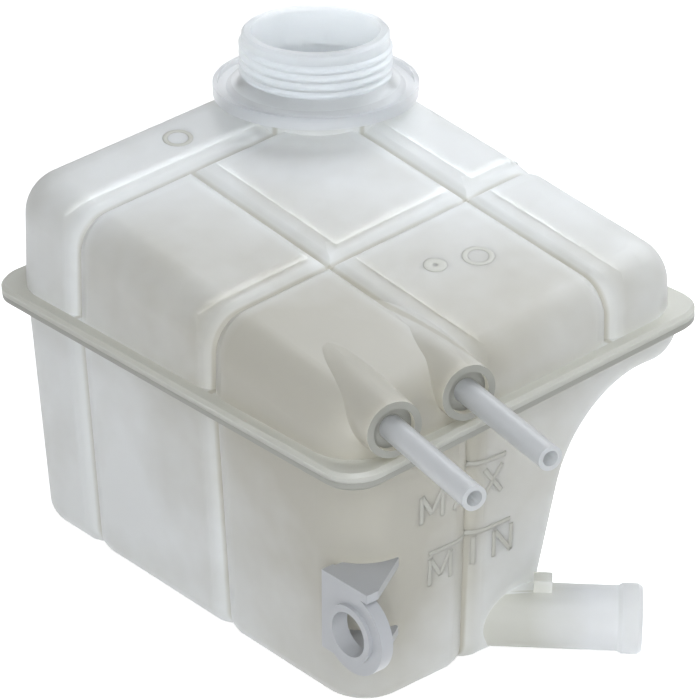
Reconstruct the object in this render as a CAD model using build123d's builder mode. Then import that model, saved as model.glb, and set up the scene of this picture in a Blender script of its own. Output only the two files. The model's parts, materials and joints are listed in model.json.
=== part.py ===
"""Coolant expansion tank: an upper and a lower moulded half, welded at a mid flange (millimetres)."""
import os
from math import cos, radians, sin, sqrt, tan

from build123d import *

os.makedirs("parts", exist_ok=True)

# Plan of the walls at the weld plane
body_x = 157.0
body_y = 192.5
body_mid_y = 25.5
corner_r = 19.0
wall = 3.0
inner_bevel = 0.7

# Weld plane, rising to the right, and its lips
weld_z = 100.5
weld_tilt = 4.0
lip_out = 5.0
lip_t = 3.2
lip_corner_r = 13.0
lip_bevel = 1.2

# Roof of the upper half, falling to the front and to the left
roof_up = 32.7
roof_rise_x = 0.105
roof_rise_y = 0.14
roof_round = 15.0
upper_draft = 2.0

# Groove planes between the pillowed panels, and the depth of the grooves
groove_left_x = -25.0
groove_right_x = 39.0
groove_front_y = 2.8
groove_back_y = 78.8
groove = 3.2
shoulder = 8.0
shoulder_slope = 12.0
shoulder_r = 6.0
valley_r = 1.0

# Lower half: left wall, bottom, and the stepped right wall
left_foot_x = -73.5
right_foot_x = 9.0
right_lean = 13.0
shelf_z = 87.5
shelf_w = 3.5
shelf_round = 14.0
side_draft = 1.0
edge_round = 11.0
bottom_round = 9.5

# Filler neck on its collar
neck_x = 41.0
neck_y = 87.5
neck_up = 42.3
neck_r = 27.5
neck_bore_r = 24.0
neck_h = 22.0
neck_bevel = 1.0
flare = 6.0
collar_r = 38.5
collar_t = 2.6
collar_rim_h = 2.0
collar_rim_t = 1.8
pedestal_r = 28.5
pedestal_h = 20.0
pedestal_bore_r = 24.6

# Hose nipples on bosses that rise out of the roof
nipple_xs = (-65.2, -32.7)
nipple_out = 5.45
nipple_up = 15.4
nipple_turn = 12.7
nipple_r = 4.3
nipple_bore_r = 2.7
nipple_len = 50.5
boss_r = 10.0
boss_taper = 2.0
boss_len = 56.0
boss_rim = 2.5

# Outlet spigot with a hose bead and a stop block
outlet_x = 0.2
outlet_in = 0.55
outlet_z = 13.0
outlet_turn = 45.0
outlet_r = 11.5
outlet_bore_r = 8.5
outlet_len = 42.0
bead_r = 12.4
bead_len = 8.5
bead_slope = 1.5
stop_at = 4.0
stop_w = 6.5
stop_h = 4.0
stop_root = 1.0

# Mounting lug at the front left corner
lug_x = -82.0
lug_out = 3.75
lug_z = 41.0
lug_r = 15.0
lug_t = 5.0
lug_hole_r = 8.0
lug_rim_r = 10.5
lug_rim_h = 1.5
rib_t = 3.2
rib_reach = 24.0
rib_up = 16.0
rib_down = 10.5

tilt = radians(weld_tilt)
weld = Plane(origin=(0, 0, weld_z), x_dir=(cos(tilt), 0, sin(tilt)), z_dir=(-sin(tilt), 0, cos(tilt)))
roof_z = weld_z + roof_up
neck_top = roof_z + neck_up
front_y = body_mid_y - body_y / 2
back_y = body_mid_y + body_y / 2
tall = 2 * neck_top
run_out = 3 * lip_t


def roof_plane(inset):
    """Plane of the roof, moved inward by the inset."""
    slope = sqrt(1 + roof_rise_x**2 + roof_rise_y**2)
    return Plane(origin=(0, 0, roof_z - inset * slope), z_dir=(-roof_rise_x, -roof_rise_y, 1))


def on_weld(edge):
    """True for an edge that lies in the weld plane."""
    return all(abs(weld.to_local_coords(edge @ t).Z) < 1e-3 for t in (0, 0.5, 1))


def channel(run, across, inset):
    """Cut a groove along a run over the surface: soft-edged outside, a plain V for the ridge inside the wall."""
    start = Plane(origin=run @ 0, x_dir=across, z_dir=run % 0)
    inward = 1 if start.y_dir.dot(weld.origin - start.origin) > 0 else -1
    with BuildSketch(start) as notch:
        with BuildLine():
            if inset:
                depth = groove + (sqrt(2) - 1) * inset
                outline = Polyline((-depth - inset, -inward * inset), (0, inward * depth),
                                   (depth + inset, -inward * inset))
            else:
                rise = shoulder * tan(radians(shoulder_slope))
                brink = rise / 2
                edge = groove - brink
                outline = Polyline((-edge - shoulder, -inward * brink), (-edge, inward * brink),
                                   (0, inward * groove), (edge, inward * brink),
                                   (edge + shoulder, -inward * brink))
            Line(outline @ 1, outline @ 0)
        make_face()
        if not inset:
            corners = notch.vertices().sort_by(Axis.X)
            fillet([corners[1], corners[3]], shoulder_r)
            fillet(corners[2], valley_r)
    sweep(notch.sketch, path=run, mode=Mode.SUBTRACT)


def ease(edges, radius, inset):
    """Round an edge; inside the wall a flat bevel takes the place of the round."""
    if inset:
        chamfer(edges, inner_bevel * radius)
    else:
        fillet(edges, radius)


def roof_run(plane, low, high, roof_mid, rise, radius, stop=None):
    """Run of a groove up one drafted wall and over the roof, to a stop on it or down the other wall."""
    lean = tan(radians(upper_draft))
    feet = []
    corners = []
    for side, inward in ((low, lean), (high, -lean)):
        top = (roof_mid + rise * (side - inward * weld_z)) / (1 - rise * inward)
        feet.append((side - inward * run_out, weld_z - run_out))
        corners.append((side + inward * (top - weld_z), top))
    if stop is None:
        far = (corners[1], feet[1])
    else:
        far = ((stop, roof_mid + rise * stop),)
    with BuildLine(plane) as run:
        FilletPolyline(feet[0], corners[0], *far, radius=radius)
    return run.line


def upper_body(inset):
    """Upper half with its grooves, moved inward by the inset."""
    radius = roof_round - inset
    roof = roof_plane(inset)
    with BuildPart() as body:
        with BuildSketch(Plane.XY.offset(weld_z)):
            with Locations((0, body_mid_y)):
                RectangleRounded(body_x - 2 * inset, body_y - 2 * inset, corner_r - inset)
        extrude(amount=tall / 2, taper=upper_draft)
        extrude(body.faces().sort_by(Axis.Z)[0], amount=run_out)
        split(bisect_by=weld, keep=Keep.TOP)
        split(bisect_by=roof, keep=Keep.BOTTOM)
        ease(body.faces().sort_by(Axis.Z)[-1].edges(), radius, inset)
        # The left groove ends in the back one, and the right one goes on under the neck
        for x, stop in ((groove_left_x, groove_back_y - valley_r / 2), (groove_right_x, None)):
            run = roof_run(Plane.YZ.offset(x), front_y + inset, back_y - inset,
                           roof.origin.Z + roof_rise_x * x, roof_rise_y, radius, stop)
            channel(run, (1, 0, 0), inset)
        for y in (groove_front_y, groove_back_y):
            run = roof_run(Plane.XZ.offset(-y), inset - body_x / 2, body_x / 2 - inset,
                           roof.origin.Z + roof_rise_y * y, roof_rise_x, radius)
            channel(run, (0, 1, 0), inset)
    return body.part


def lower_section(inset):
    """Cross section of the lower half with its stepped right wall, moved inward by the inset."""
    lean = radians(right_lean)
    shelf_x = body_x / 2 - shelf_round - shelf_w
    cove_r = (shelf_x - right_foot_x - shelf_z * tan(lean)) / (cos(lean) - (1 - sin(lean)) * tan(lean))
    rise = shelf_z - cove_r * (1 - sin(lean))
    with BuildSketch() as section:
        with BuildLine():
            left = Line((-body_x / 2, tall / 2), (-body_x / 2, weld_z))
            foot = Polyline(left @ 1, (left_foot_x, 0), (right_foot_x, 0))
            lower_wall = Line(foot @ 1, (right_foot_x + rise * tan(lean), rise))
            cove = TangentArc(lower_wall @ 1, (shelf_x, shelf_z), tangent=lower_wall % 1)
            shelf = Line(cove @ 1, (shelf_x + shelf_w, shelf_z))
            turn_up = TangentArc(shelf @ 1, (body_x / 2, shelf_z + shelf_round), tangent=(1, 0))
            Polyline(turn_up @ 1, (body_x / 2, tall / 2), left @ 0)
        make_face()
        if inset:
            offset(amount=-inset, kind=Kind.INTERSECTION, mode=Mode.REPLACE)
    return section.sketch


def lower_body(inset):
    """Lower half with its grooves, moved inward by the inset."""
    radius = bottom_round - inset
    draft = radians(side_draft)
    section = lower_section(inset)
    with BuildPart() as body:
        with BuildSketch(Plane.XZ):
            add(section)
        extrude(amount=tall, both=True)
        for y, way in ((front_y + inset, -1), (back_y - inset, 1)):
            side = Plane(origin=(0, y, weld_z), z_dir=(0, way * cos(draft), -sin(draft)))
            split(bisect_by=side, keep=Keep.BOTTOM)
        split(bisect_by=weld, keep=Keep.BOTTOM)
        ends = body.faces().sort_by(Axis.Y)
        rims = [e for face in (ends[0], ends[-1]) for e in face.edges() if not on_weld(e)]
        uprights = [e for e in rims if (e @ 0.5).Z > bottom_round]
        fillet([e for e in uprights if (e @ 0.5).X < left_foot_x / 2], corner_r - inset)
        ends = body.faces().sort_by(Axis.Y)
        rims = [e for face in (ends[0], ends[-1]) for e in face.edges() if not on_weld(e)]
        ease([e for e in rims if (e @ 0.5).X > right_foot_x - wall], edge_round - inset, inset)
        ease(body.faces().sort_by(Axis.Z)[0].edges(), radius, inset)
        sink = (weld_z - inset) * tan(draft)
        with BuildLine(Plane.YZ.offset(groove_left_x)) as run:
            FilletPolyline((front_y + inset, weld_z), (front_y + inset + sink, inset),
                           (back_y - inset - sink, inset), (back_y - inset, weld_z), radius=radius)
        channel(run.line, (1, 0, 0), inset)
        with BuildSketch(mode=Mode.PRIVATE) as rounded:
            add(section)
            fillet(rounded.vertices().group_by(Axis.Y)[0], radius)
        around = Wire(rounded.edges().sort_by(Axis.Y)[:-1])
        for y in (groove_front_y, groove_back_y):
            channel(Plane.XZ.offset(-y) * around, (0, 1, 0), inset)
    return body.part


def turned(at, outline, mode=Mode.ADD):
    """Turned solid of (radius, height) points about the Z axis of a plane."""
    side = Plane(origin=at.origin, x_dir=at.x_dir, z_dir=-at.y_dir)
    with BuildSketch(side) as section:
        with BuildLine():
            Polyline(*outline, close=True)
        make_face()
    revolve(section.sketch, axis=Axis(at.origin, at.z_dir), mode=mode)


def lip(amount):
    """Weld lip, a plate outward from the weld plane by the amount."""
    with BuildPart(mode=Mode.PRIVATE) as plate:
        with BuildSketch(weld):
            with Locations((0, body_mid_y)):
                RectangleRounded(body_x + 2 * lip_out, body_y + 2 * lip_out, lip_corner_r)
        extrude(amount=amount)
        chamfer([e for e in plate.edges() if abs(weld.to_local_coords(e @ 0.5).Z - amount) < 1e-3], lip_bevel)
    add(plate.part)


neck = Plane(origin=(neck_x, neck_y, 0))
collar_top = neck_top - neck_h
pedestal_top = collar_top - collar_t
pedestal_foot = pedestal_top - pedestal_h
turn = radians(nipple_turn)
nipples = [Plane(origin=(x, front_y - nipple_out, weld_z + x * tan(tilt) + nipple_up), x_dir=(0, 0, 1),
                 z_dir=(-sin(turn), -cos(turn), 0)) for x in nipple_xs]
boss_root_r = boss_r + boss_len * tan(radians(boss_taper))
boss_floor = boss_rim + wall

with BuildPart() as upper_shell:
    add(upper_body(0))
    lip(lip_t)
    turned(neck, [(0, pedestal_foot), (pedestal_r, pedestal_foot), (pedestal_r, pedestal_top),
                  (collar_r, pedestal_top), (collar_r, collar_top + collar_rim_h),
                  (collar_r - collar_rim_t, collar_top + collar_rim_h),
                  (collar_r - collar_rim_t, collar_top), (neck_r + flare, collar_top),
                  (neck_r, collar_top + flare), (neck_r, neck_top - neck_bevel),
                  (neck_r - neck_bevel, neck_top), (0, neck_top)])
    for nipple in nipples:
        turned(nipple, [(0, -boss_len), (boss_root_r, -boss_len), (boss_r, 0), (boss_r - boss_rim, 0),
                        (boss_r - boss_rim, -boss_rim), (nipple_r, -boss_rim), (nipple_r, nipple_len),
                        (0, nipple_len)])
    add(upper_body(wall), mode=Mode.SUBTRACT)
    turned(neck, [(0, pedestal_foot), (pedestal_bore_r, pedestal_foot), (pedestal_bore_r, pedestal_top),
                  (neck_bore_r, pedestal_top), (neck_bore_r, neck_top), (0, neck_top)], mode=Mode.SUBTRACT)
    for nipple in nipples:
        turned(nipple, [(0, -boss_len), (boss_root_r - wall, -boss_len), (boss_r - wall, -boss_floor),
                        (nipple_bore_r, -boss_floor), (nipple_bore_r, nipple_len), (0, nipple_len)],
               mode=Mode.SUBTRACT)

outlet_way = radians(outlet_turn)
outlet = Plane(origin=(outlet_x, front_y + outlet_in, outlet_z), x_dir=(0, 0, 1),
               z_dir=(sin(outlet_way), -cos(outlet_way), 0))
outlet_root = 2 * outlet_r
stop = Plane(origin=outlet.origin + Vector(0, 0, outlet_r - stop_root), x_dir=outlet.z_dir, z_dir=(0, 0, 1))
lug_y = front_y - lug_out
lug = Plane(origin=(lug_x, lug_y, lug_z), x_dir=(0, -1, 0), z_dir=(-1, 0, 0))

with BuildPart() as spigot:
    turned(outlet, [(0, -outlet_root), (outlet_r, -outlet_root), (outlet_r, outlet_len - bead_len),
                    (bead_r, outlet_len - bead_len + bead_slope), (bead_r, outlet_len - bead_slope),
                    (outlet_r, outlet_len), (0, outlet_len)])
    split(bisect_by=Plane(origin=(0, front_y + wall, 0), z_dir=(0, -1, 0)), keep=Keep.TOP)

with BuildPart() as lower_shell:
    add(lower_body(0))
    lip(-lip_t)
    add(spigot.part)
    with BuildSketch(stop):
        with Locations((stop_at + stop_w / 2, 0)):
            Rectangle(stop_w, stop_w)
    extrude(amount=stop_h + stop_root)
    with BuildSketch(lug):
        Circle(lug_r)
        with Locations((-lug_r / 2, (rib_up - rib_down) / 2)):
            Rectangle(lug_r, rib_up + rib_down + rib_t)
    extrude(amount=-lug_t)
    with BuildSketch(lug):
        Circle(lug_rim_r)
    extrude(amount=lug_rim_h)
    for z in (lug_z - rib_down, lug_z + rib_up):
        with BuildSketch(Plane.XY.offset(z)):
            with BuildLine():
                Polyline((lug_x, lug_y - lug_r / 2), (lug_x + lug_t, lug_y - lug_r / 2),
                         (lug_x + rib_reach, front_y), (lug_x + rib_reach, front_y + corner_r / 4),
                         (corner_r / 2 - body_x / 2, front_y + corner_r / 2), (lug_x, lug_y + lug_r),
                         close=True)
            make_face()
        extrude(amount=rib_t / 2, both=True)
    add(lower_body(wall), mode=Mode.SUBTRACT)
    turned(outlet, [(0, -outlet_root), (outlet_bore_r, -outlet_root), (outlet_bore_r, outlet_len),
                    (0, outlet_len)], mode=Mode.SUBTRACT)
    with BuildSketch(lug):
        Circle(lug_hole_r)
    extrude(amount=lug_t + lug_rim_h, both=True, mode=Mode.SUBTRACT)

upper_shell.part.label = "upper_shell"
export_step(upper_shell.part, "parts/upper_shell.step")
lower_shell.part.label = "lower_shell"
export_step(lower_shell.part, "parts/lower_shell.step")
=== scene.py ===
"""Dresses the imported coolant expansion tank: its plastic, cap thread and moulded marks, on a pale stage."""
import json
import math

import bmesh
import bpy
from mathutils import Matrix, Vector
from mathutils.bvhtree import BVHTree


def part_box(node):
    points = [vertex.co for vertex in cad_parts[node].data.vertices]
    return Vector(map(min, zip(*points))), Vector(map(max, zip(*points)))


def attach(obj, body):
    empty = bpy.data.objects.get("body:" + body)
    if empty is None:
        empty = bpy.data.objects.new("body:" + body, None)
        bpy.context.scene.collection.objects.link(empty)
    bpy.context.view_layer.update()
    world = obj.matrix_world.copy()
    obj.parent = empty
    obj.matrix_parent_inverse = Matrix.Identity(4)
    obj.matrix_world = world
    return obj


bl_info = {
    "name": "Coolant Expansion Tank",
    "version": (1, 0, 0),
    "blender": (4, 5, 0),
    "location": "View3D > Sidebar > Tank",
    "description": "Gives a moulded coolant tank its plastic, cap thread, moulded marks and a plain stage",
    "category": "Object",
}

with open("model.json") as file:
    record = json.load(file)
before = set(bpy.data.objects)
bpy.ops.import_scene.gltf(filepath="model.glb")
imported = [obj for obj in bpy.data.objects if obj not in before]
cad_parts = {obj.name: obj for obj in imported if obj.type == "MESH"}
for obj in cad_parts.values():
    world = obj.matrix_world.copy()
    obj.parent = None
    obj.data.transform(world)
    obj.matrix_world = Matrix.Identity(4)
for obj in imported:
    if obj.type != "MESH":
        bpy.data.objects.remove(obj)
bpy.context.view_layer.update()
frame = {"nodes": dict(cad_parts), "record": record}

MM = 0.001
MOUNTS = {mount["name"]: mount for mount in frame["record"]["mounts"]}

# Plan of the walls at the weld, which rises to the right
BODY_HALF_X = 78.5 * MM
BODY_HALF_Y = 96.25 * MM
BODY_MIDDLE_Y = 25.5 * MM
BODY_CORNER = 19 * MM
WELD_HEIGHT = 100.5 * MM
WELD_RISE = math.tan(math.radians(4))

# A face further out of the walls than this belongs to what stands on them
PROUD = 0.5 * MM

# The weld lips lie within this height over and under the weld
LIP_REACH = 3.6 * MM

# Lines of the grooves between the panels, and where the left one ends on the roof
GROOVE_LEFT_X = -25 * MM
GROOVE_RIGHT_X = 39 * MM
GROOVE_FRONT_Y = 2.8 * MM
GROOVE_BACK_Y = 78.8 * MM
GROOVE_LEFT_END = 78 * MM

# Filler neck and its collar: limits just past the collar's foot, rim and edge, and past the neck's root
NECK = Vector(MOUNTS["neck_outside"]["pos_m"])
COLLAR_FOOT = 150 * MM
COLLAR_RIM = 155.6 * MM
COLLAR_REACH = 39 * MM
NECK_REACH = 30 * MM

# Hose nipples: how far each reaches back from its tip, and out from its axis
NIPPLES = [MOUNTS["left_nipple"], MOUNTS["right_nipple"]]
NIPPLE_BACK = 53.5 * MM
NIPPLE_REACH = 5 * MM

# Ends of the nipples' bosses, the rim and the recess in it: place back from the tip, and reach
BOSS_ENDS = ((50.5 * MM, 11 * MM), (53 * MM, 8 * MM))
SAME_PLANE = 0.3 * MM

# The outlet lies low in front of the walls, and the mounting lug to the left of it
OUTLET_BACK = -73 * MM
OUTLET_TOP = 30 * MM
LUG_RIGHT = -50 * MM
LUG_BACK = -50 * MM
LUG_FACE = -77 * MM
LUG_FOOT = 12 * MM
LUG_TOP = 62 * MM

# Upright share of the normal from which a face counts as level
LEVEL = 0.7


def linear(code):
    """Linear RGBA of an sRGB hex colour."""
    parts = [int(code[i:i + 2], 16) / 255 for i in (0, 2, 4)]
    return tuple(p / 12.92 if p <= 0.04045 else ((p + 0.055) / 1.055) ** 2.4 for p in parts) + (1.0,)


class TankColours(bpy.types.PropertyGroup):
    """Colours of the plastic and the stage."""

    body: bpy.props.FloatVectorProperty(
        name="Plastic", description="Natural polypropylene, seen in daylight", subtype="COLOR",
        size=4, min=0, max=1, default=linear("E1E3E2"))
    # Painted shade: the walls turn to this colour towards the top front left, in the lower groove and in
    # every groove's crease, and the melt's clouds mix it in at random
    cloud_and_shade: bpy.props.FloatVectorProperty(
        name="Clouding And Painted Shade", description="Warmer tone where the melt flowed more thickly", subtype="COLOR",
        size=4, min=0, max=1, default=linear("B8B5A9"))
    thin: bpy.props.FloatVectorProperty(
        name="Thin Parts", description="Plastic of the collar and the outlet", subtype="COLOR",
        size=4, min=0, max=1, default=linear("E2E4E6"))
    lug: bpy.props.FloatVectorProperty(
        name="Lug", description="Plastic of the mounting lug and its ribs", subtype="COLOR",
        size=4, min=0, max=1, default=linear("C8CACD"))
    nipple: bpy.props.FloatVectorProperty(
        name="Nipples", description="Plastic of the two hose nipples", subtype="COLOR",
        size=4, min=0, max=1, default=linear("DADCDD"))
    lip: bpy.props.FloatVectorProperty(
        name="Weld Lip", description="Plastic of the upper weld lip, the outlet's root and the mould marks",
        subtype="COLOR", size=4, min=0, max=1, default=linear("C6C6BD"))
    # Painted shadow: a dimmed copy of the plastic for the shade under the lower weld lip and on the ends of
    # the bosses
    seam: bpy.props.FloatVectorProperty(
        name="Weld Seam", description="Plastic of the lower weld lip and the ends of the bosses",
        subtype="COLOR", size=4, min=0, max=1, default=linear("9A9A92"))
    # Painted shade: the raised level marks are a dimmed copy of the wall's plastic so their strokes read dark
    painted_mark_shade: bpy.props.FloatVectorProperty(
        name="Relief", description="Plastic of the raised level marks", subtype="COLOR",
        size=4, min=0, max=1, default=linear("B6B5AC"))
    clear: bpy.props.FloatVectorProperty(
        name="Clear Parts", description="Plastic of the neck and its thread", subtype="COLOR",
        size=4, min=0, max=1, default=linear("F5F8FA"))
    depth: bpy.props.FloatProperty(
        name="Light Depth", description="How far light spreads inside the wall", unit="LENGTH",
        default=5 * MM)
    backdrop: bpy.props.FloatVectorProperty(
        name="Backdrop", description="Floor and background", subtype="COLOR",
        size=4, min=0, max=1, default=linear("FFFFFF"))
    sky: bpy.props.FloatVectorProperty(
        name="Sky", description="Even light from all round", subtype="COLOR",
        size=4, min=0, max=1, default=linear("FFFDFA"))
    lamp: bpy.props.FloatVectorProperty(
        name="Lamps", description="Light of the soft lamps", subtype="COLOR",
        size=4, min=0, max=1, default=linear("F5F9FF"))


class ThreadSizes(bpy.types.PropertyGroup):
    """Sizes of the screw thread on the filler neck."""

    radius: bpy.props.FloatProperty(
        name="Neck Radius", description="Outside radius of the plain neck", unit="LENGTH",
        default=MOUNTS["neck_outside"]["dims"]["r_mm"] * MM)
    height: bpy.props.FloatProperty(
        name="Ridge Height", description="Height of the ridge over the neck", unit="LENGTH",
        default=1.1 * MM)
    root: bpy.props.FloatProperty(
        name="Root Width", description="Width of the ridge at the neck", unit="LENGTH", default=2.7 * MM)
    crest: bpy.props.FloatProperty(
        name="Crest Width", description="Width of the ridge at its top", unit="LENGTH", default=0.9 * MM)
    rounding: bpy.props.FloatProperty(
        name="Rounding", description="Rounding of the ridge's edges", unit="LENGTH", default=0.35 * MM)
    pitch: bpy.props.FloatProperty(
        name="Pitch", description="Rise of one turn", unit="LENGTH", default=3.4 * MM)
    turns: bpy.props.FloatProperty(
        name="Turns", description="Number of turns", min=0.5, default=4.3)
    top: bpy.props.FloatProperty(
        name="Top Gap", description="From the rim of the neck down to the thread's start", unit="LENGTH",
        default=2.2 * MM)


class MarkSizes(bpy.types.PropertyGroup):
    """Sizes of the raised level marks and mould marks."""

    height: bpy.props.FloatProperty(
        name="Level Mark Height", description="Height of a level mark over the wall", unit="LENGTH",
        default=0.22 * MM)
    letter: bpy.props.FloatProperty(
        name="Letter Height", description="Height of a letter from foot to head", unit="LENGTH",
        default=10.5 * MM)
    stroke: bpy.props.FloatProperty(
        name="Stroke Width", description="Width of a letter's strokes", unit="LENGTH", default=1.0 * MM)
    line: bpy.props.FloatProperty(
        name="Line Width", description="Width of a level line", unit="LENGTH", default=0.9 * MM)
    step: bpy.props.FloatProperty(
        name="Step", description="Distance between points along a level mark", unit="LENGTH",
        default=0.8 * MM)
    mould_height: bpy.props.FloatProperty(
        name="Mould Mark Height", description="Height of a mould mark over the roof", unit="LENGTH",
        default=0.15 * MM)


class StageSizes(bpy.types.PropertyGroup):
    """Floor, lights and camera."""

    floor: bpy.props.FloatProperty(
        name="Floor Side", description="Side of the floor", unit="LENGTH", default=12.0)
    floor_gap: bpy.props.FloatProperty(
        name="Floor Gap", description="From the tank's base down to the floor", unit="LENGTH",
        default=0.2 * MM)
    floor_glow: bpy.props.FloatProperty(
        name="Floor Glow", description="Strength that lifts the floor to white where it is the background",
        min=0, default=0.7)
    low_sky: bpy.props.FloatProperty(
        name="Low Sky", description="Strength of the even light at the horizon", min=0, default=0.62)
    high_sky: bpy.props.FloatProperty(
        name="High Sky", description="Strength of the even light overhead", min=0, default=0.0)
    power: bpy.props.FloatProperty(
        name="Lamp Power", description="Power that each soft lamp takes its share of", unit="POWER",
        default=2.75)
    sensor: bpy.props.FloatProperty(
        name="Sensor", description="Width of the camera's sensor", unit="CAMERA", default=36.0)
    lens: bpy.props.FloatProperty(
        name="Lens", description="Focal length of the camera", unit="CAMERA", default=152.71)
    azimuth: bpy.props.FloatProperty(
        name="Azimuth", description="Camera's turn from the front, to the right", subtype="ANGLE",
        default=math.radians(-40.9208))
    elevation: bpy.props.FloatProperty(
        name="Elevation", description="Camera's height over the floor as an angle", subtype="ANGLE",
        default=math.radians(26.6432))
    eye: bpy.props.FloatVectorProperty(
        name="Camera Place", description="Place of the camera", subtype="TRANSLATION", size=3,
        default=(-0.624985, -0.700149, 0.560483))


def add_node(tree, kind, inputs=None, **settings):
    """Add a shader node with its settings, and give its inputs values or links from other nodes."""
    node = tree.nodes.new(kind)
    for key, value in settings.items():
        setattr(node, key, value)
    for key, value in (inputs or {}).items():
        if isinstance(value, bpy.types.NodeSocket):
            tree.links.new(value, node.inputs[key])
        else:
            node.inputs[key].default_value = value
    return node


def empty_tree(owner):
    """Node tree of a new material or world, cleared."""
    owner.use_nodes = True
    owner.node_tree.nodes.clear()
    return owner.node_tree


def clouded_and_shaded_tone(tree, place, melt, body, cloud_and_shade, way, reach, grooves):
    """Colour that turns from body to cloud_and_shade along a way over a reach as painted shade, broken up by
    the clouds of the melt.

    Each groove is an axis, its place on that axis, the Y where it ends and its shade: below 0 painted light
    makes its strip lighter, and above 0 painted shade dims it. Painted shade dims a thin line down the
    crease.
    """
    # Painted shade: share that is taken from the clouds where the reach starts, and added where it ends
    start_share = -0.45
    end_share = 0.8
    # Half widths where a groove's painted strip and the painted shade in its crease are full, and where they
    # have run out
    painted_band = (3 * MM, 8 * MM)
    painted_crease = (0.5 * MM, 1.5 * MM)
    painted_crease_shade = 0.6

    along = add_node(tree, "ShaderNodeVectorMath", {0: place, 1: way}, operation="DOT_PRODUCT")
    shade_along_way = add_node(tree, "ShaderNodeMapRange", {
        "Value": along.outputs["Value"], "From Min": reach[0], "From Max": reach[1],
        "To Min": start_share, "To Max": end_share})
    cloud_and_shade_share = add_node(tree, "ShaderNodeMath", {0: melt, 1: shade_along_way.outputs["Result"]},
                    operation="ADD", use_clamp=True)
    apart = add_node(tree, "ShaderNodeSeparateXYZ", {"Vector": place})
    for axis, line, end, shade in grooves:
        off = add_node(tree, "ShaderNodeMath", {0: apart.outputs[axis], 1: line}, operation="SUBTRACT")
        far = add_node(tree, "ShaderNodeMath", {0: off.outputs[0]}, operation="ABSOLUTE")
        # Past its end the groove counts as a whole metre further away
        past = add_node(tree, "ShaderNodeMath", {0: apart.outputs["Y"], 1: end}, operation="GREATER_THAN")
        far = add_node(tree, "ShaderNodeMath", {0: far.outputs[0], 1: past.outputs[0]}, operation="ADD")
        for (full, gone), amount in ((painted_band, shade), (painted_crease, painted_crease_shade)):
            near = add_node(tree, "ShaderNodeMapRange", {
                "Value": far.outputs[0], "From Min": full, "From Max": gone, "To Min": amount, "To Max": 0.0})
            cloud_and_shade_share = add_node(tree, "ShaderNodeMath", {0: cloud_and_shade_share.outputs[0], 1: near.outputs["Result"]},
                            operation="ADD", use_clamp=True)
    # Inputs 6 and 7 of a colour Mix node are its two colours, and output 2 is their mix
    tone = add_node(tree, "ShaderNodeMix", {"Factor": cloud_and_shade_share.outputs[0], 6: body, 7: cloud_and_shade}, data_type="RGBA")
    return tone.outputs[2]


def plastic(name, body, cloud_and_shade=None, way=(-0.6, -0.6, 0.5), reach=(40 * MM, 130 * MM), grooves=(),
            depth=0.0, clear=0.0):
    """Natural polypropylene, injection moulded: a waxy, satin, slightly translucent skin.

    Light goes into the wall and comes back softened over the given depth, so grooves fill with light and
    edges glow. Slow clouds in the gloss show where the melt flowed. Where a cloud_and_shade colour is given,
    the tone turns to it along the way as painted shade, on the walls towards the top front left, and the
    grooves get painted light or shade. The eroded steel of the mould leaves a very fine grain. Thin parts
    let some light through, by the share clear.
    """
    cloud_size = 40 * MM
    # The real grain is about 0.4 mm, drawn coarser so that it shows
    grain_size = 1.2 * MM
    grain_height = 0.1 * MM
    glossy = 0.34
    satin = 0.46

    material = bpy.data.materials.new(name)
    tree = empty_tree(material)
    place = add_node(tree, "ShaderNodeTexCoord").outputs["Object"]
    melt = add_node(tree, "ShaderNodeTexNoise", {
        "Vector": place, "Scale": 1 / cloud_size, "Detail": 3.0, "Roughness": 0.55}).outputs["Fac"]
    gloss = add_node(tree, "ShaderNodeMapRange", {"Value": melt, "To Min": glossy, "To Max": satin})
    grain = add_node(tree, "ShaderNodeTexNoise", {"Vector": place, "Scale": 1 / grain_size, "Detail": 2.0})
    bump = add_node(tree, "ShaderNodeBump", {
        "Height": grain.outputs["Fac"], "Strength": 0.08, "Distance": grain_height})
    tone = body
    if cloud_and_shade is not None:
        tone = clouded_and_shaded_tone(tree, place, melt, body, cloud_and_shade, way, reach, grooves)
    look = {"Base Color": tone, "Roughness": gloss.outputs["Result"], "Normal": bump.outputs["Normal"],
            "IOR": 1.49}
    if clear:
        # Thin cloudy walls bend light far less than a clear block, and keep a soft shine
        look.update({"Transmission Weight": clear, "IOR": 1.12, "Coat Weight": 1.0, "Coat Roughness": 0.3})
    if depth:
        look.update({"Subsurface Weight": 1.0, "Subsurface Radius": (1.0, 0.98, 0.92),
                     "Subsurface Scale": depth})
    skin = add_node(tree, "ShaderNodeBsdfPrincipled", look, subsurface_method="BURLEY")
    add_node(tree, "ShaderNodeOutputMaterial", {"Surface": skin.outputs["BSDF"]})
    return material


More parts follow.
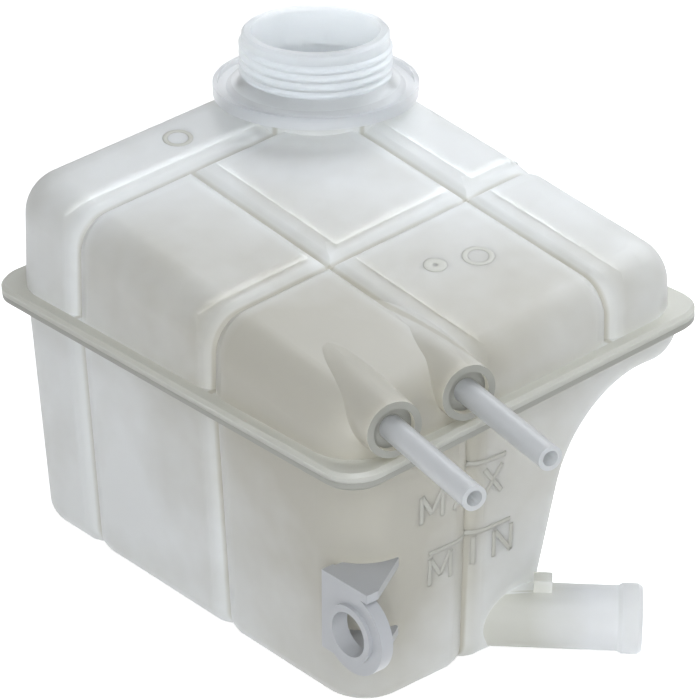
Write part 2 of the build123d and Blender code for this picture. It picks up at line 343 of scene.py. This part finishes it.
def skin_at(face):
    """Name of the part of the tank that a face belongs to, by where the face lies."""
    x, y, z = face.center
    from_neck = math.hypot(x - NECK.x, y - NECK.y)
    if z > COLLAR_FOOT and from_neck < COLLAR_REACH:
        return "neck" if z > COLLAR_RIM or from_neck < NECK_REACH else "collar"
    if x > LUG_RIGHT and y < OUTLET_BACK and z < OUTLET_TOP:
        return "outlet"

    past_x = max(abs(x) - (BODY_HALF_X - BODY_CORNER), 0)
    past_y = max(abs(y - BODY_MIDDLE_Y) - (BODY_HALF_Y - BODY_CORNER), 0)
    stands_out = math.hypot(past_x, past_y) - BODY_CORNER > PROUD
    over_weld = z - WELD_HEIGHT - x * WELD_RISE
    if stands_out and abs(over_weld) < LIP_REACH:
        return "upper_lip" if over_weld > 0 else "lower_lip"

    for nipple in NIPPLES:
        axis = Vector(nipple["axis"])
        tip = Vector(nipple["pos_m"]) + axis * nipple["dims"]["length_mm"] * MM / 2
        back = tip - face.center
        along = back.dot(axis)
        off_axis = (back - along * axis).length
        if along < NIPPLE_BACK and off_axis < NIPPLE_REACH:
            return "nipple"
        # The ends of the bosses and the recesses in them get the lower lip's painted shadow
        if any(abs(along - end) < SAME_PLANE and off_axis < reach for end, reach in BOSS_ENDS):
            return "lower_lip"

    near_lug = x < LUG_RIGHT and y < LUG_BACK and LUG_FOOT < z < LUG_TOP
    if near_lug and (x < LUG_FACE or stands_out or abs(face.normal.z) > LEVEL):
        return "lug"
    return "wall"


class TANK_OT_halves(bpy.types.Operator):
    """Give the two moulded halves their plastic, clearer on the thin parts that stand out from them"""

    bl_idname = "tank.halves"
    bl_label = "Moulded Halves"

    def execute(self, context):
        colours = context.scene.tank_colours
        depth = colours.depth
        # The outlet darkens from its pipe to its root
        outlet_way = (-math.sqrt(0.5), math.sqrt(0.5), 0)
        outlet_reach = (-74 * MM, -46 * MM)
        parts = {
            "collar": plastic("natural_polypropylene_thin", colours.thin, clear=0.7),
            "neck": plastic("natural_polypropylene_clear", colours.clear, depth=depth, clear=0.7),
            "outlet": plastic("natural_polypropylene_pale", colours.thin, colours.lip, way=outlet_way,
                              reach=outlet_reach, depth=depth),
            "upper_lip": plastic("natural_polypropylene_lip", colours.lip, depth=depth),
            # Painted shadow on the lower lip and the ends of the bosses
            "lower_lip": plastic("natural_polypropylene_painted_shadow", colours.seam),
            "lug": plastic("natural_polypropylene_lug", colours.lug, clear=0.3),
            "nipple": plastic("natural_polypropylene_nipple", colours.nipple, clear=0.4),
        }
        # Painted light lifts the upper shell's grooves, and painted shade dims the lower shell's groove
        painted_light = -0.22
        painted_shade = 0.3
        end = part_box("lower_shell")[1].y
        across = (("Y", GROOVE_FRONT_Y, end, painted_light), ("Y", GROOVE_BACK_Y, end, painted_light))
        lengthwise = {
            "upper_shell": (("X", GROOVE_LEFT_X, GROOVE_LEFT_END, painted_light), ("X", GROOVE_RIGHT_X, end, painted_light)),
            "lower_shell": (("X", GROOVE_LEFT_X, end, painted_shade),),
        }
        for name, grooves in lengthwise.items():
            # The walls get painted shade towards the top front left and along their grooves
            walls = plastic("natural_polypropylene_" + name, colours.body, colours.cloud_and_shade,
                            grooves=across + grooves, depth=depth)
            skins = {"wall": walls, **parts}
            mesh = frame["nodes"][name].data
            mesh.materials.clear()
            for skin in skins.values():
                mesh.materials.append(skin)
            order = list(skins)
            for face in mesh.polygons:
                face.material_index = order.index(skin_at(face))
        return {"FINISHED"}


def mesh_object(name, bm):
    """Object in the scene from a bmesh, with smooth faces."""
    mesh = bpy.data.meshes.new(name)
    bmesh.ops.recalc_face_normals(bm, faces=bm.faces)
    bm.to_mesh(mesh)
    bm.free()
    mesh.shade_smooth()
    piece = bpy.data.objects.new(name, mesh)
    bpy.context.scene.collection.objects.link(piece)
    return piece


def moulded_on(piece, material):
    """Fix a piece that is moulded onto the tank: its material and the body that carries it."""
    piece.data.materials.append(material)
    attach(piece, "root")


def join_rows(bm, rows, closed=False):
    """Add the faces between neighbouring rows of points, with end faces unless the rows close a ring."""
    following = rows[1:] + rows[:1] if closed else rows[1:]
    for a, b in zip(rows, following):
        for k in range(len(a)):
            n = (k + 1) % len(a)
            bm.faces.new((a[k], a[n], b[n], b[k]))
    if not closed:
        bm.faces.new(rows[0])
        bm.faces.new(rows[-1])


class TANK_OT_thread(bpy.types.Operator):
    """Wind the screw thread for the cap round the filler neck"""

    bl_idname = "tank.thread"
    bl_label = "Neck Thread"

    def execute(self, context):
        sizes = context.scene.tank_thread
        rim = Vector((NECK.x, NECK.y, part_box("upper_shell")[1].z))
        around = 96
        count = int(around * sizes.turns)
        # The ridge runs out over the first and the last eighth of a turn
        run_out = around / 8
        sunk = 0.3 * MM
        bm = bmesh.new()
        rows = []
        for i in range(count + 1):
            angle = 2 * math.pi * i / around
            drop = sizes.top + sizes.root / 2 + sizes.pitch * i / around
            share = min(1.0, i / run_out, (count - i) / run_out)
            rise = sizes.height * math.sin(share * math.pi / 2)
            out = Vector((math.cos(angle), math.sin(angle), 0))
            profile = ((-sizes.root / 2, -sunk), (-sizes.root / 2, 0), (-sizes.crest / 2, rise),
                       (sizes.crest / 2, rise), (sizes.root / 2, 0), (sizes.root / 2, -sunk))
            rows.append([bm.verts.new(rim + out * (sizes.radius + high) + Vector((0, 0, along - drop)))
                         for along, high in profile])
        join_rows(bm, rows)
        piece = mesh_object("neck_thread", bm)
        soft = piece.modifiers.new("rounded_crest", "BEVEL")
        soft.width = sizes.rounding
        soft.segments = 2
        soft.limit_method = "ANGLE"
        moulded_on(piece, bpy.data.materials["natural_polypropylene_clear"])
        return {"FINISHED"}


def surface_of(node):
    """Search tree over the surface of a CAD node."""
    mesh = frame["nodes"][node].data
    mesh.calc_loop_triangles()
    return BVHTree.FromPolygons([v.co for v in mesh.vertices], [t.vertices for t in mesh.loop_triangles])


def raised_strip(bm, surface, points, width, height, toward, closed=False):
    """Add a raised strip along points that are cast onto a surface in the direction toward."""
    sunk = 0.15 * MM
    slope = 0.7 * MM
    # The cast starts this far back, well outside the tank
    clear_of = 0.3
    half = width / 2
    profile = ((-half - slope, -sunk), (-half, height), (0, height), (half, height), (half + slope, -sunk))
    rows = []
    total = len(points)
    for i, point in enumerate(points):
        before = points[i - 1] if closed or i else point
        after = points[(i + 1) % total] if closed or i + 1 < total else point
        side = (after - before).cross(toward).normalized()
        row = []
        for across, high in profile:
            hit = surface.ray_cast(point + side * across - toward * clear_of, toward)[0]
            if hit is None:
                raise RuntimeError("a raised mark misses the wall that carries it")
            row.append(bm.verts.new(hit - toward * high))
        rows.append(row)
    join_rows(bm, rows, closed)


def points_between(start, end, step):
    """Points from start to end, about a step apart."""
    count = max(2, round((end - start).length / step))
    return [start.lerp(end, i / count) for i in range(count + 1)]


# Letters as strokes in a cell one high, each stroke from one (across, up) to another
LETTERS = {
    "M": (((0, 0), (0, 1)), ((0, 1), (0.45, 0.25)), ((0.45, 0.25), (0.9, 1)), ((0.9, 1), (0.9, 0))),
    "I": (((0, 0), (0, 1)),),
    "N": (((0, 0), (0, 1)), ((0, 1), (0.75, 0)), ((0.75, 0), (0.75, 1))),
    "A": (((0, 0), (0.42, 1)), ((0.42, 1), (0.84, 0)), ((0.16, 0.35), (0.68, 0.35))),
    "X": (((0, 0), (0.75, 1)), ((0, 1), (0.75, 0))),
}

# Level marks in mm: word, height of its line, the line's ends, foot of the letters and their left edges
LEVEL_MARKS = (
    ("min", 54.0, (-43.7, -6.3), 41.5, (("M", -43.0), ("I", -22.4), ("N", -13.5))),
    ("max", 80.8, (-27.0, -9.5), 67.0, (("M", -47.5), ("A", -32.5), ("X", -19.0))),
)

# Mould marks on the roof in mm: name, centre, radius and width of the ring
MOULD_MARKS = (
    ("back_ring_mark", -17.1, 96.7, 4.7, 1.2),
    ("front_ring_mark", 16.3, -27.7, 4.7, 1.2),
    ("front_spot_mark", 1.3, -22.2, 2.5, 2.6),
)


class TANK_OT_level_marks(bpy.types.Operator):
    """Raise the MIN and MAX lines and words on the front wall"""

    bl_idname = "tank.level_marks"
    bl_label = "Level Marks"

    def execute(self, context):
        sizes = context.scene.tank_marks
        # The level marks take a dimmed tone as painted shade
        skin = plastic("natural_polypropylene_level_marks", context.scene.tank_colours.painted_mark_shade)
        surface = surface_of("lower_shell")
        toward = Vector((0, 1, 0))
        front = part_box("lower_shell")[0].y
        for word, level, line_ends, foot, letters in LEVEL_MARKS:
            bm = bmesh.new()
            line = points_between(*(Vector((x * MM, front, level * MM)) for x in line_ends), sizes.step)
            raised_strip(bm, surface, line, sizes.line, sizes.height, toward)
            for letter, left in letters:
                corner = Vector((left * MM, front, foot * MM))
                for stroke in LETTERS[letter]:
                    ends = [corner + sizes.letter * Vector((across, 0, up)) for across, up in stroke]
                    points = points_between(*ends, sizes.step)
                    raised_strip(bm, surface, points, sizes.stroke, sizes.height, toward)
            moulded_on(mesh_object(word + "_mark", bm), skin)
        return {"FINISHED"}


class TANK_OT_mould_marks(bpy.types.Operator):
    """Raise the ring marks that the mould's ejectors and gates leave on the roof"""

    bl_idname = "tank.mould_marks"
    bl_label = "Mould Marks"

    def execute(self, context):
        sizes = context.scene.tank_marks
        # Painted shade: the rings and the spot take the lip's dimmer tone so they read as dark marks
        skin = plastic("natural_polypropylene_mould_marks", context.scene.tank_colours.lip)
        surface = surface_of("upper_shell")
        toward = Vector((0, 0, -1))
        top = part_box("upper_shell")[1].z
        around = 48
        for name, x, y, radius, width in MOULD_MARKS:
            bm = bmesh.new()
            centre = Vector((x * MM, y * MM, top))
            angles = [2 * math.pi * k / around for k in range(around)]
            points = [centre + radius * MM * Vector((math.cos(a), math.sin(a), 0)) for a in angles]
            raised_strip(bm, surface, points, width * MM, sizes.mould_height, toward, closed=True)
            moulded_on(mesh_object(name, bm), skin)
        return {"FINISHED"}


def background_rays(tree):
    """Socket that is 1 for the rays that show the background: camera, glossy and transmission rays."""
    path = add_node(tree, "ShaderNodeLightPath")
    shown = path.outputs["Is Camera Ray"]
    for kind in ("Is Glossy Ray", "Is Transmission Ray"):
        either = add_node(tree, "ShaderNodeMath", {0: shown, 1: path.outputs[kind]}, operation="MAXIMUM")
        shown = either.outputs[0]
    return shown


def white_paper(colour, glow):
    """Matt white paper, lifted to plain white where it is the background, that keeps the tank's shadow."""
    paper = bpy.data.materials.new("white_paper_floor")
    tree = empty_tree(paper)
    diffuse = add_node(tree, "ShaderNodeBsdfDiffuse", {"Color": colour}).outputs[0]
    lift = add_node(tree, "ShaderNodeEmission", {"Color": colour, "Strength": glow}).outputs[0]
    both = add_node(tree, "ShaderNodeAddShader", {0: diffuse, 1: lift}).outputs[0]
    mixed = add_node(tree, "ShaderNodeMixShader", {0: background_rays(tree), 1: diffuse, 2: both})
    add_node(tree, "ShaderNodeOutputMaterial", {"Surface": mixed.outputs[0]})
    return paper


def even_sky(colours, sizes):
    """World that lights the tank evenly from low down, and shows as the plain backdrop."""
    world = bpy.data.worlds.new("even_sky")
    tree = empty_tree(world)
    place = add_node(tree, "ShaderNodeTexCoord")
    height = add_node(tree, "ShaderNodeSeparateXYZ", {"Vector": place.outputs["Generated"]})
    level = add_node(tree, "ShaderNodeMapRange", {
        "Value": height.outputs["Z"], "To Min": sizes.low_sky, "To Max": sizes.high_sky})
    sky = add_node(tree, "ShaderNodeBackground", {"Color": colours.sky, "Strength": level.outputs["Result"]})
    backdrop = add_node(tree, "ShaderNodeBackground", {"Color": colours.backdrop, "Strength": 1.0})
    mixed = add_node(tree, "ShaderNodeMixShader", {
        0: background_rays(tree), 1: sky.outputs[0], 2: backdrop.outputs[0]})
    add_node(tree, "ShaderNodeOutputWorld", {"Surface": mixed.outputs[0]})
    return world


# Soft lamps: name, place, side and share of the lamp power, all turned to the middle of the tank
LAMPS = (
    ("key_lamp", (-0.75, -0.6, 0.3), 0.4, 0.85),
    ("front_lamp", (0.15, -0.95, 0.3), 0.6, 0.25),
    ("top_lamp", (-0.35, -0.45, 0.8), 0.4, 0.95),
    ("back_lamp", (0.4, 0.3, 0.8), 0.5, 0.8),
    ("right_lamp", (0.36, -0.02, 0.4), 0.3, 0.3),
)
LAMP_TARGET = Vector((0, 0, 80 * MM))


def soft_lamp(name, place, side, power, colour):
    """Square area lamp at a place, turned to the tank."""
    lamp = bpy.data.lights.new(name, "AREA")
    lamp.size = side
    lamp.energy = power
    lamp.color = colour[:3]
    holder = bpy.data.objects.new(name, lamp)
    holder.location = place
    holder.rotation_euler = (LAMP_TARGET - Vector(place)).to_track_quat("-Z", "Y").to_euler()
    return holder


def photo_camera(sizes):
    """Camera at its place, turned by its azimuth and elevation, with no roll."""
    camera = bpy.data.cameras.new("photo_camera")
    camera.sensor_fit = "HORIZONTAL"
    camera.sensor_width = sizes.sensor
    camera.lens = sizes.lens
    holder = bpy.data.objects.new("photo_camera", camera)
    level = math.cos(sizes.elevation)
    back = Vector((math.sin(sizes.azimuth) * level, -math.cos(sizes.azimuth) * level,
                   math.sin(sizes.elevation)))
    right = Vector((0, 0, 1)).cross(back).normalized()
    up = back.cross(right)
    turn = Matrix((right, up, back)).transposed().to_4x4()
    holder.matrix_world = Matrix.Translation(Vector(sizes.eye)) @ turn
    return holder


class TANK_OT_stage(bpy.types.Operator):
    """Set the floor, the even sky, the soft lamps and the camera"""

    bl_idname = "tank.stage"
    bl_label = "Stage"

    def execute(self, context):
        scene = context.scene
        sizes = scene.tank_stage
        colours = scene.tank_colours
        scene.view_settings.view_transform = "Standard"

        bm = bmesh.new()
        bmesh.ops.create_grid(bm, x_segments=1, y_segments=1, size=sizes.floor / 2)
        floor = mesh_object("floor", bm)
        floor.location.z = -sizes.floor_gap
        floor.data.materials.append(white_paper(colours.backdrop, sizes.floor_glow))

        scene.world = even_sky(colours, sizes)
        for name, place, side, share in LAMPS:
            lamp = soft_lamp(name, place, side, share * sizes.power, colours.lamp)
            scene.collection.objects.link(lamp)
        scene.camera = photo_camera(sizes)
        scene.collection.objects.link(scene.camera)
        return {"FINISHED"}


STEPS = (TANK_OT_halves, TANK_OT_thread, TANK_OT_level_marks, TANK_OT_mould_marks, TANK_OT_stage)
GROUPS = {
    "tank_colours": TankColours,
    "tank_thread": ThreadSizes,
    "tank_marks": MarkSizes,
    "tank_stage": StageSizes,
}


class TANK_PT_sidebar(bpy.types.Panel):
    """Sidebar panel with the tank's steps, colours and sizes"""

    bl_idname = "TANK_PT_sidebar"
    bl_label = "Expansion Tank"
    bl_space_type = "VIEW_3D"
    bl_region_type = "UI"
    bl_category = "Tank"

    def draw(self, context):
        for step in STEPS:
            self.layout.operator(step.bl_idname)
        for name, group in GROUPS.items():
            for setting in group.__annotations__:
                self.layout.prop(getattr(context.scene, name), setting)


def register():
    """Add the steps, the panel and the scene's settings."""
    for cls in (*GROUPS.values(), *STEPS, TANK_PT_sidebar):
        bpy.utils.register_class(cls)
    for name, group in GROUPS.items():
        setattr(bpy.types.Scene, name, bpy.props.PointerProperty(type=group))


def unregister():
    """Take away the scene's settings, the panel and the steps."""
    for name in GROUPS:
        delattr(bpy.types.Scene, name)
    for cls in (TANK_PT_sidebar, *reversed(STEPS), *reversed(GROUPS.values())):
        bpy.utils.unregister_class(cls)


def main():
    """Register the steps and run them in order."""
    register()
    bpy.ops.tank.halves()
    bpy.ops.tank.thread()
    bpy.ops.tank.level_marks()
    bpy.ops.tank.mould_marks()
    bpy.ops.tank.stage()


if __name__ == "__main__":
    main()
